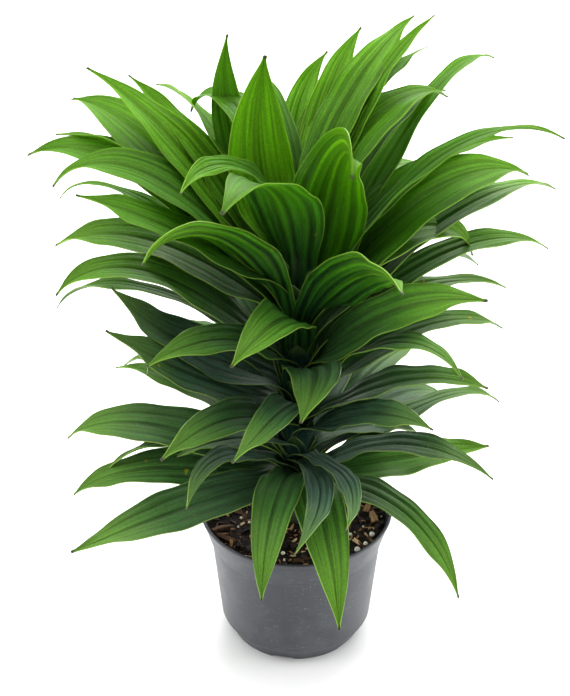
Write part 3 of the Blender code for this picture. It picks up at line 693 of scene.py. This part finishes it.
def leaf_frames(leaf):
    """For each row of a blade: share of length, centre, side and upward directions."""
    compass = math.radians(leaf.compass)
    point = Vector((0, 0, leaf.height * MM))
    point += Vector((math.cos(compass), math.sin(compass), 0)) * LEAF_ROOT_DEPTH
    frames = []
    for k in range(BLADE_ROWS + 1):
        along = k / BLADE_ROWS
        pitch = math.radians(leaf.rise + (leaf.fall - leaf.rise) * along ** leaf.bend)
        heading = math.radians(leaf.compass + leaf.sweep * along ** SWEEP_POWER)
        level = Vector((math.cos(heading), math.sin(heading), 0))
        forward = level * math.cos(pitch) + Vector((0, 0, math.sin(pitch)))
        if k:
            point = point + (forward + before).normalized() * (leaf.length * MM / BLADE_ROWS)
        before = forward
        side = Vector((-math.sin(heading), math.cos(heading), 0))
        roll = math.radians(leaf.roll * min(along / ROLLED_BY, 1))
        turn = Matrix.Rotation(roll, 3, forward)
        frames.append((along, point.copy(), turn @ side, turn @ forward.cross(side)))
    return frames


def bend_blade(blade, leaf, phase, settings):
    """Bend a flat pattern blade into a leaf of the chart: gutter, pleats and waved edges."""
    frames = leaf_frames(leaf)
    for corner in blade.data.vertices:
        across = 2 * corner.co.x
        along, centre, side, up = frames[round((corner.co.y + 0.5) * BLADE_ROWS)]
        reach = leaf.width * MM / 2 * half_width(along)
        clasp = max(0, 1 - along / CLASP_LENGTH)
        closing = max(0, 1 - (1 - along) / TIP_FOLD_LENGTH)
        fold = math.radians(GUTTER_ANGLE + CLASP_ANGLE * clasp + TIP_FOLD_ANGLE * closing)
        calm = min(1, along / CALM_ROOT) * min(1, (1 - along) / CALM_TIP)
        from_middle = abs(across)
        wave = math.sin(2 * math.pi * EDGE_WAVES * along + phase + SIDE_PHASE * math.copysign(1, across))
        ripple = math.sin(2 * math.pi * EDGE_RIPPLES * along + RIPPLE_PHASE * phase + 2 * across)
        lift = reach * math.sin(fold) * from_middle ** GUTTER_POWER
        lift += settings.edge_wave * calm * from_middle ** EDGE_POWER * (wave + RIPPLE_SHARE * ripple)
        turn = 2 * math.pi * settings.pleats * across
        pleat = BROAD_SHARE * math.cos(turn) + NARROW_SHARE * math.cos(NARROW_PLEATS * turn)
        lift -= settings.pleat_height * pleat_share(along) * pleat * (1 - PLEAT_FADE * across ** 2)
        free = centre + side * (across * reach * math.cos(fold)) + up * lift
        corner.co = free.lerp(*wrapped_place(leaf, along, across))


def wrapped_place(leaf, along, across):
    """Where a corner would lie if the base clasped the cane there, and how far it does so."""
    out = along * leaf.length * MM
    hold = max(0, 1 - out / WRAP_LENGTH) ** WRAP_POWER
    compass = math.radians(leaf.compass) + WRAP_SPREAD * across
    radius = CANE_RADIUS + WRAP_GAP + WRAP_FLARE * out
    height = leaf.height * MM + WRAP_CLIMB * out - WRAP_DIP * across ** 2
    return Vector((radius * math.cos(compass), radius * math.sin(compass), height)), hold


def pleat_share(along):
    """How deep the pleats are along a blade: shallow at the clasp, and none at the tip."""
    from_root = min(1, PLEAT_AT_ROOT + along / PLEAT_ROOT_LENGTH)
    return from_root * min(1, max(0, (PLEAT_END - along) / PLEAT_TIP_LENGTH))


def between(ends, share):
    """The value at a share of the way from the first end to the second."""
    return ends[0] + (ends[1] - ends[0]) * share


def back_leaves():
    """The leaves of the side turned away, up the cane by the golden angle."""
    draw = random.Random(BACK_SEED)
    leaves = []
    for k in range(BACK_LEAVES):
        climb = k / (BACK_LEAVES - 1)
        turn = (GOLDEN_ANGLE * k) % BACK_SPREAD - BACK_SPREAD / 2
        leaves.append(Leaf(
            height=BACK_FIRST_HEIGHT + BACK_STEP * k,
            compass=BACK_COMPASS + turn,
            rise=between(BACK_RISE, climb),
            fall=between(BACK_FALL, climb) + draw.uniform(-BACK_STRAY, BACK_STRAY),
            bend=BACK_BEND,
            length=between(BACK_LENGTH, climb) + draw.uniform(-BACK_STRAY, BACK_STRAY),
            sweep=draw.uniform(-BACK_SWAY, BACK_SWAY),
            width=BACK_WIDTH + draw.uniform(-BACK_WIDTH_STRAY, BACK_WIDTH_STRAY),
            roll=draw.uniform(-BACK_SWAY, BACK_SWAY),
            tone=between(BACK_TONE, climb),
        ))
    return leaves


def thicken(item, thickness):
    """Give an open skin its thickness, with its last material on the underside."""
    skin = item.modifiers.new("thickness", "SOLIDIFY")
    skin.thickness = thickness
    skin.offset = -1
    skin.material_offset = len(item.data.materials) - 1
    apply_modifiers(item)


def add_leaf_group(name, leaves, first, materials, settings):
    """Model one flat blade, copy it for each leaf, bend the copies and give them their thickness."""
    deselect()
    bpy.ops.mesh.primitive_grid_add(
        size=1, x_subdivisions=BLADE_COLUMNS, y_subdivisions=BLADE_ROWS, location=(0, 0, 0))
    pattern = bpy.context.object
    blades = []
    for k, leaf in enumerate(leaves):
        blade = copy_of(pattern, "blade")
        bend_blade(blade, leaf, math.radians(GOLDEN_ANGLE * (first + k)), settings)
        give_tone(blade.data, leaf.tone)
        blades.append(blade)
    discard(pattern)
    group = join(blades, name)
    for material in materials:
        group.data.materials.append(material)
    thicken(group, settings.thickness)
    finish_piece(group, "green_leaf", "leafy_stem", angle=70)


def pull_rings(name, profile, sides):
    """Start from a circle and pull ring after ring out of it, through (radius, height) points."""
    radius, height = profile[0]
    deselect()
    bpy.ops.mesh.primitive_circle_add(vertices=sides, radius=radius, location=(0, 0, height))
    item = bpy.context.object
    item.name = name
    item.data.name = name
    bpy.ops.object.mode_set(mode="EDIT")
    bpy.ops.mesh.select_all(action="SELECT")
    for next_radius, next_height in profile[1:]:
        step = (0, 0, next_height - height)
        bpy.ops.mesh.extrude_region_move(TRANSFORM_OT_translate={"value": step})
        share = next_radius / radius
        bpy.ops.transform.resize(value=(share, share, 1))
        radius, height = next_radius, next_height
    bpy.ops.object.mode_set(mode="OBJECT")
    settle(item)
    return item


def close_skin(item):
    """Join the ends of a pulled skin where they meet, and turn its faces outwards."""
    pick(item)
    bpy.ops.object.mode_set(mode="EDIT")
    bpy.ops.mesh.select_all(action="SELECT")
    bpy.ops.mesh.remove_doubles(threshold=0.01 * MM)
    bpy.ops.mesh.select_all(action="DESELECT")
    bpy.ops.mesh.select_non_manifold(extend=False)
    bpy.ops.mesh.fill_holes(sides=0)
    bpy.ops.mesh.select_all(action="SELECT")
    bpy.ops.mesh.normals_make_consistent(inside=False)
    bpy.ops.object.mode_set(mode="OBJECT")


def pot_profile():
    """The pot's section as (radius, height) points: floor, outside up, rim, inside down."""
    collar_foot = POT_HEIGHT - COLLAR_DEPTH
    outside = [
        (BASE_RADIUS - 0.8 * MM, 0), (BASE_RADIUS, 0.4 * MM),
        (FOOT_TOP_RADIUS - 0.2 * MM, FOOT_HEIGHT - 2 * MM),
        (FOOT_TOP_RADIUS + 0.4 * MM, FOOT_HEIGHT - 1 * MM),
        (BODY_FOOT_RADIUS - 0.5 * MM, FOOT_HEIGHT + 0.6 * MM),
        (BODY_FOOT_RADIUS, FOOT_HEIGHT + 1.6 * MM),
        (BODY_TOP_RADIUS - 0.1 * MM, collar_foot - 1.6 * MM),
        (BODY_TOP_RADIUS + 0.2 * MM, collar_foot - 0.8 * MM),
        (COLLAR_FOOT_RADIUS - 0.2 * MM, collar_foot - 0.2 * MM),
        (COLLAR_FOOT_RADIUS + 0.1 * MM, collar_foot + 0.6 * MM),
        (RIM_RADIUS - LIP_THICKNESS + WALL - 0.1 * MM, POT_HEIGHT - LIP_DEPTH - 0.5 * MM),
        (RIM_RADIUS - 0.4 * MM, POT_HEIGHT - LIP_DEPTH), (RIM_RADIUS, POT_HEIGHT - LIP_DEPTH + 0.5 * MM),
        (RIM_RADIUS, POT_HEIGHT - 0.8 * MM), (RIM_RADIUS - 0.25 * MM, POT_HEIGHT - 0.25 * MM),
        (RIM_RADIUS - 0.8 * MM, POT_HEIGHT),
    ]
    inside = [
        (RIM_RADIUS - LIP_THICKNESS + 0.3 * MM, POT_HEIGHT),
        (RIM_RADIUS - LIP_THICKNESS - 0.1 * MM, POT_HEIGHT - 0.5 * MM),
        (COLLAR_FOOT_RADIUS - WALL, collar_foot + WALL), (BODY_TOP_RADIUS - WALL, collar_foot),
        (BODY_FOOT_RADIUS - WALL, FOOT_HEIGHT + 2 * MM), (FOOT_TOP_RADIUS - WALL, FOOT_HEIGHT),
        (BASE_RADIUS - WALL, WALL + 0.6 * MM), (BASE_RADIUS - WALL - 0.8 * MM, WALL),
    ]
    return outside + inside


def cut_drain_arches(pot):
    """Bite the low drain arches out of the corner between wall and floor."""
    for k in range(DRAIN_SLOTS):
        deselect()
        compass = math.radians(DRAIN_FIRST_COMPASS + k * 360 / DRAIN_SLOTS)
        bpy.ops.mesh.primitive_cylinder_add(vertices=40, radius=0.5, depth=1, location=(0, 0, 0))
        cutter = bpy.context.object
        stand = Matrix.Diagonal((DRAIN_HEIGHT * 2, DRAIN_WIDTH, DRAIN_REACH * 2, 1))
        out = Matrix.Translation((BASE_RADIUS, 0, 0))
        cutter.data.transform(
            Matrix.Rotation(compass, 4, "Z") @ out @ Matrix.Rotation(math.radians(90), 4, "Y") @ stand)
        bite = pot.modifiers.new("drain", "BOOLEAN")
        bite.operation = "DIFFERENCE"
        bite.solver = "EXACT"
        bite.object = cutter
        apply_modifiers(pot)
        discard(cutter)


def mix_height(x, y, settings):
    """Height of the mix's crumbly top at a place: lumps, then crumbs, then grit."""
    spot = Vector((x, y, 0))
    lumps = noise.noise(spot / LUMP_WIDTH) + CRUMB_SHARE * noise.noise(spot / CRUMB_WIDTH)
    grit = GRIT_SHARE * noise.noise(spot / GRIT_WIDTH)
    return MIX_TOP + settings.lump * (lumps + grit)


def add_mix_top(settings):
    """The mix in the pot: rings from the wall in to the cane's hole, then crumbled."""
    collar_foot = POT_HEIGHT - COLLAR_DEPTH
    inset = WALL + MIX_GAP
    profile = [
        (BASE_RADIUS - inset - 0.2 * MM, MIX_FLOOR), (FOOT_TOP_RADIUS - WALL - 0.1 * MM, FOOT_HEIGHT),
        (BODY_FOOT_RADIUS - inset, FOOT_HEIGHT + 2 * MM), (BODY_TOP_RADIUS - inset, collar_foot - 0.4 * MM),
        (COLLAR_FOOT_RADIUS - inset, collar_foot + 1.6 * MM),
    ]
    for k in range(MIX_RINGS + 1):
        profile.append((between((MIX_EDGE_RADIUS, CANE_HOLE), k / MIX_RINGS), MIX_TOP - 1 * MM))
    profile.append((CANE_HOLE, CANE_FOOT - 0.3 * MM))
    mix = pull_rings("potting_mix_top", profile, MIX_SIDES)
    close_skin(mix)
    for corner in mix.data.vertices:
        radius = math.hypot(corner.co.x, corner.co.y)
        if corner.co.z > MIX_TOP - 2 * MM:
            near_wall = min(1, (MIX_EDGE_RADIUS - radius) / MIX_CALM)
            lumpy = mix_height(corner.co.x, corner.co.y, settings)
            corner.co.z += (lumpy - corner.co.z) * near_wall
    return mix


def chip_pattern(seed):
    """One split chip of bark: a thin board with a ragged, tapered end."""
    deselect()
    bpy.ops.mesh.primitive_cube_add(size=1, location=(0, 0, 0))
    chip = bpy.context.object
    bpy.ops.object.mode_set(mode="EDIT")
    bpy.ops.mesh.select_all(action="SELECT")
    bpy.ops.mesh.subdivide(number_cuts=1)
    bpy.ops.object.mode_set(mode="OBJECT")
    draw = random.Random(seed)
    for corner in chip.data.vertices:
        if corner.co.x > 0.1:
            corner.co.y *= draw.uniform(0.3, 0.8)
        corner.co.x += draw.uniform(-0.12, 0.12)
        corner.co.y *= draw.uniform(0.8, 1.15)
        corner.co.z *= draw.uniform(0.45, 1.1)
        corner.co.z += 0.5 * math.sin(2.4 * corner.co.x + seed)
    return chip


def lay_chip(pattern, x, y, height, size, turn, tilt, tone):
    """Copy a chip, size it and lay it half into the mix."""
    chip = copy_of(pattern, "chip")
    lean = Matrix.Rotation(tilt[0], 4, "X") @ Matrix.Rotation(tilt[1], 4, "Y")
    move = Matrix.Translation((x, y, height)) @ Matrix.Rotation(turn, 4, "Z") @ lean
    chip.data.transform(move @ Matrix.Diagonal((*size, 1)))
    give_tone(chip.data, tone)
    return chip


def add_bark_chips(settings):
    """Chips and slivers of bark over the mix, the big ones where the photo shows them."""
    draw = random.Random(CHIP_SEED)
    patterns = [chip_pattern(seed) for seed in range(CHIP_KINDS)]
    chips = []
    for x, y, length, width, turn, tone in BIG_CHIPS:
        size = (length * MM, width * MM, BIG_CHIP_THICKNESS)
        height = mix_height(x * MM, y * MM, settings) + BIG_CHIP_RISE
        tilt = (draw.uniform(-0.3, 0.3), draw.uniform(-0.2, 0.2))
        pattern = patterns[len(chips) % CHIP_KINDS]
        chips.append(lay_chip(pattern, x * MM, y * MM, height, size, math.radians(turn), tilt, tone))
    for k in range(settings.chips):
        radius = CHIP_FIELD[0] + CHIP_FIELD[1] * math.sqrt(draw.random())
        compass = draw.uniform(0, 2 * math.pi)
        length = draw.choice(CHIP_LENGTHS) * draw.uniform(0.8, 1.2) * MM
        radius = min(radius, CHIP_REACH - length / 2)
        x, y = radius * math.cos(compass), radius * math.sin(compass)
        size = (length, length * draw.uniform(0.14, 0.5), draw.uniform(0.6, 1.5) * MM)
        tilt = (draw.uniform(-0.6, 0.6), draw.uniform(-0.35, 0.35))
        tone = draw.choice(CHIP_TONES) + draw.uniform(-0.06, 0.06)
        height = mix_height(x, y, settings) + draw.uniform(-0.3, 0.7) * MM
        turn = draw.uniform(0, 2 * math.pi)
        chips.append(lay_chip(patterns[k % CHIP_KINDS], x, y, height, size, turn, tilt, tone))
    for pattern in patterns:
        discard(pattern)
    return join(chips, "bark_chips")


def add_perlite(settings):
    """White perlite beads, the big ones where the photo shows them."""
    draw = random.Random(PERLITE_SEED)
    spots = [(x * MM, y * MM, radius * MM) for x, y, radius in PERLITE_SPOTS]
    for _ in range(settings.grains):
        radius = PERLITE_FIELD[0] + PERLITE_FIELD[1] * math.sqrt(draw.random())
        compass = draw.uniform(0, 2 * math.pi)
        grain = draw.uniform(*PERLITE_GRAIN) * MM
        spots.append((radius * math.cos(compass), radius * math.sin(compass), grain))
    deselect()
    bpy.ops.mesh.primitive_ico_sphere_add(subdivisions=2, radius=1, location=(0, 0, 0))
    pattern = bpy.context.object
    beads = []
    for x, y, radius in spots:
        bead = copy_of(pattern, "bead")
        shift = Vector((draw.uniform(0, 9), draw.uniform(0, 9), 0))
        for corner in bead.data.vertices:
            corner.co *= radius * (1 + PERLITE_BUMPS * noise.noise(corner.co * 1.7 + shift))
            corner.co += Vector((x, y, mix_height(x, y, settings) + PERLITE_RISE * radius))
        beads.append(bead)
    discard(pattern)
    return join(beads, "perlite_beads")


def add_cane_core():
    """The cane's own body, from its foot in the mix to its tip."""
    profile = [(CANE_RADIUS - 1 * MM, CANE_FOOT), (CANE_RADIUS, CANE_FOOT + 2 * MM)]
    for k in range(CANE_RINGS):
        profile.append((CANE_RADIUS - CANE_WAIST, (CANE_FIRST_RING + CANE_RING_STEP * k) * MM))
    profile += [
        (CANE_RADIUS - 2 * MM, CANE_SHOULDER), (CANE_TIP_RADIUS, CANE_TOP - 2 * MM),
        (CANE_POINT_RADIUS, CANE_TOP),
    ]
    core = pull_rings("cane", profile, CANE_SIDES)
    close_skin(core)
    return core


def add_leaf_bases():
    """Old leaf bases: one pointed, clasping stub, copied up the cane by the golden angle."""
    deselect()
    bpy.ops.mesh.primitive_grid_add(
        size=1, x_subdivisions=STUB_COLUMNS, y_subdivisions=STUB_ROWS, location=(0, 0, 0))
    pattern = bpy.context.object
    stubs = []
    for k in range(STUB_COUNT):
        stub = copy_of(pattern, "stub")
        compass = math.radians(GOLDEN_ANGLE * k)
        height = STUB_FIRST_HEIGHT + STUB_STEP * k
        for corner in stub.data.vertices:
            along = corner.co.y + 0.5
            across = 2 * corner.co.x
            spread = STUB_SPREAD * (1 - STUB_NARROWS_BY * along ** STUB_POINT_POWER) * across
            radius = CANE_RADIUS - STUB_SINK + STUB_STAND * along ** 2
            radius += STUB_RIB_HEIGHT * math.cos(STUB_RIBS * across)
            corner.co = Vector((
                radius * math.cos(compass + spread), radius * math.sin(compass + spread),
                height + STUB_LENGTH * along))
        give_tone(stub.data, 1.0)
        stubs.append(stub)
    discard(pattern)
    return join(stubs, "leaf_bases")


class DRACAENA_OT_pot(bpy.types.Operator):
    """Turn the nursery pot and cut its drain arches"""
    bl_idname = "dracaena.pot"
    bl_label = "Nursery pot"

    def execute(self, context):
        pot = pull_rings("nursery_pot", pot_profile(), POT_SIDES)
        close_skin(pot)
        cut_drain_arches(pot)
        pot.data.materials.append(pot_material(context.scene.dracaena_pot))
        finish_piece(pot, "charcoal_plastic", "pot", angle=35)
        return {"FINISHED"}


class DRACAENA_OT_mix(bpy.types.Operator):
    """Fill the pot with bark mix"""
    bl_idname = "dracaena.mix"
    bl_label = "Potting mix"

    def execute(self, context):
        mix = add_mix_top(context.scene.dracaena_mix)
        mix.data.materials.append(mix_material())
        finish_piece(mix, "bark_mix", "potting_mix")
        return {"FINISHED"}


class DRACAENA_OT_chips(bpy.types.Operator):
    """Strew bark chips over the mix"""
    bl_idname = "dracaena.chips"
    bl_label = "Bark chips"

    def execute(self, context):
        chips = add_bark_chips(context.scene.dracaena_mix)
        chips.data.materials.append(chip_material())
        finish_piece(chips, "bark_mix", angle=25)
        return {"FINISHED"}


class DRACAENA_OT_perlite(bpy.types.Operator):
    """Strew perlite beads over the mix"""
    bl_idname = "dracaena.perlite"
    bl_label = "Perlite"

    def execute(self, context):
        beads = add_perlite(context.scene.dracaena_mix)
        beads.data.materials.append(perlite_material())
        finish_piece(beads, "bark_mix", angle=180)
        return {"FINISHED"}


class DRACAENA_OT_cane(bpy.types.Operator):
    """Raise the cane out of the mix"""
    bl_idname = "dracaena.cane"
    bl_label = "Cane"

    def execute(self, context):
        core = add_cane_core()
        core.data.materials.append(cane_material())
        finish_piece(core, "green_leaf", "leafy_stem", angle=50)
        return {"FINISHED"}


class DRACAENA_OT_leaf_bases(bpy.types.Operator):
    """Clothe the cane in its old leaf bases"""
    bl_idname = "dracaena.leaf_bases"
    bl_label = "Leaf bases"

    def execute(self, context):
        bases = add_leaf_bases()
        material = leaf_material("waxy_leaf_base", context.scene.dracaena_leaf, False, BASE_GLOW)
        bases.data.materials.append(material)
        thicken(bases, STUB_THICKNESS)
        finish_piece(bases, "green_leaf", "leafy_stem", angle=50)
        return {"FINISHED"}


class DRACAENA_OT_leaves(bpy.types.Operator):
    """Grow the leaves of the chart and those of the side turned away"""
    bl_idname = "dracaena.leaves"
    bl_label = "Leaves"

    def execute(self, context):
        settings = context.scene.dracaena_leaf
        young = [
            leaf_material("waxy_young_leaf_face", settings, False, YOUNG_GLOW),
            leaf_material("waxy_young_leaf_underside", settings, True, YOUNG_GLOW),
        ]
        grown = [
            leaf_material("waxy_grown_leaf_face", settings, False, GROWN_GLOW),
            leaf_material("waxy_grown_leaf_underside", settings, True, GROWN_GLOW),
        ]
        groups = [
            ("crown_leaves", CROWN_LEAVES, young), ("middle_leaves", MIDDLE_LEAVES, grown),
            ("lowest_leaves", LOWEST_LEAVES, grown), ("back_leaves", back_leaves(), grown),
        ]
        first = 0
        for name, leaves, materials in groups:
            add_leaf_group(name, leaves, first, materials, settings)
            first += len(leaves)
        return {"FINISHED"}


def add_softbox(name, place, aim, size, power):
    """A square soft light that faces a point."""
    light = bpy.data.lights.new(name, "AREA")
    light.shape = "SQUARE"
    light.size = size
    light.energy = power
    lamp = bpy.data.objects.new(name, light)
    lamp.location = place
    lamp.rotation_euler = (Vector(aim) - Vector(place)).to_track_quat("-Z", "Y").to_euler()
    bpy.context.scene.collection.objects.link(lamp)



class DRACAENA_OT_studio(bpy.types.Operator):
    """Lay the pale floor and set the soft lights and the camera"""
    bl_idname = "dracaena.studio"
    bl_label = "Studio"

    def execute(self, context):
        scene = context.scene
        settings = scene.dracaena_studio
        deselect()
        bpy.ops.mesh.primitive_plane_add(size=FLOOR_SIDE, location=(0, 0, 0))
        floor = context.object
        floor.name = "floor"
        material, tree, shader = blank_material("painted_floor")
        set_inputs(tree, shader, {"Base Color": settings.floor_colour, "Roughness": 0.8})
        floor.data.materials.append(material)
        for name, place, aim, size, power in SOFTBOXES:
            add_softbox(name, place, aim, size, getattr(settings, power))
        self.light_air(scene)
        self.set_camera(scene)
        return {"FINISHED"}

    def light_air(self, scene):
        """Even white air all round, dimmer than the softboxes."""
        air = bpy.data.worlds.new("studio_air")
        scene.world = air
        air.use_nodes = True
        background = air.node_tree.nodes["Background"]
        background.inputs["Color"].default_value = (1, 1, 1, 1)
        background.inputs["Strength"].default_value = scene.dracaena_studio.air
        scene.view_settings.view_transform = "Standard"

    def set_camera(self, scene):
        """The camera where the photo's stood, worked out from the pot's ellipses."""
        tilt = math.radians(CAMERA_ELEVATION)
        back = Vector((0, -math.cos(tilt), math.sin(tilt)))
        lens = bpy.data.cameras.new("studio_camera")
        lens.sensor_width = CAMERA_SENSOR
        lens.lens = CAMERA_LENS
        camera = bpy.data.objects.new("studio_camera", lens)
        camera.location = CAMERA_AIM + back * CAMERA_DISTANCE
        camera.rotation_euler = (-back).to_track_quat("-Z", "Y").to_euler()
        scene.collection.objects.link(camera)
        scene.camera = camera


class DRACAENA_PT_panel(bpy.types.Panel):
    """The pieces and their sizes, in the 3D view's sidebar"""
    bl_idname = "DRACAENA_PT_panel"
    bl_label = "Potted dracaena"
    bl_space_type = "VIEW_3D"
    bl_region_type = "UI"
    bl_category = "Dracaena"

    def draw(self, context):
        layout = self.layout
        for operator in OPERATORS:
            layout.operator(operator.bl_idname)
        for group in GROUPS:
            settings = getattr(context.scene, group)
            box = layout.box()
            box.label(text=GROUPS[group].__doc__)
            for name in GROUPS[group].__annotations__:
                box.prop(settings, name)


OPERATORS = (
    DRACAENA_OT_pot, DRACAENA_OT_mix, DRACAENA_OT_chips, DRACAENA_OT_perlite, DRACAENA_OT_cane,
    DRACAENA_OT_leaf_bases, DRACAENA_OT_leaves, DRACAENA_OT_studio,
)
GROUPS = {
    "dracaena_leaf": LeafSettings, "dracaena_pot": PotSettings, "dracaena_mix": MixSettings,
    "dracaena_studio": StudioSettings,
}


def register():
    """Register the classes and hang the settings on the scene."""
    for group in GROUPS.values():
        bpy.utils.register_class(group)
    for operator in OPERATORS:
        bpy.utils.register_class(operator)
    bpy.utils.register_class(DRACAENA_PT_panel)
    for name, group in GROUPS.items():
        setattr(bpy.types.Scene, name, PointerProperty(type=group))


def unregister():
    """Take the settings and the classes away again."""
    for name in GROUPS:
        delattr(bpy.types.Scene, name)
    bpy.utils.unregister_class(DRACAENA_PT_panel)
    for operator in reversed(OPERATORS):
        bpy.utils.unregister_class(operator)
    for group in reversed(GROUPS.values()):
        bpy.utils.unregister_class(group)


def main():
    """Dress the packed model."""
    register()
    bpy.ops.dracaena.pot()
    bpy.ops.dracaena.mix()
    bpy.ops.dracaena.chips()
    bpy.ops.dracaena.perlite()
    bpy.ops.dracaena.cane()
    bpy.ops.dracaena.leaf_bases()
    bpy.ops.dracaena.leaves()
    bpy.ops.dracaena.studio()


if __name__ == "__main__":
    main()
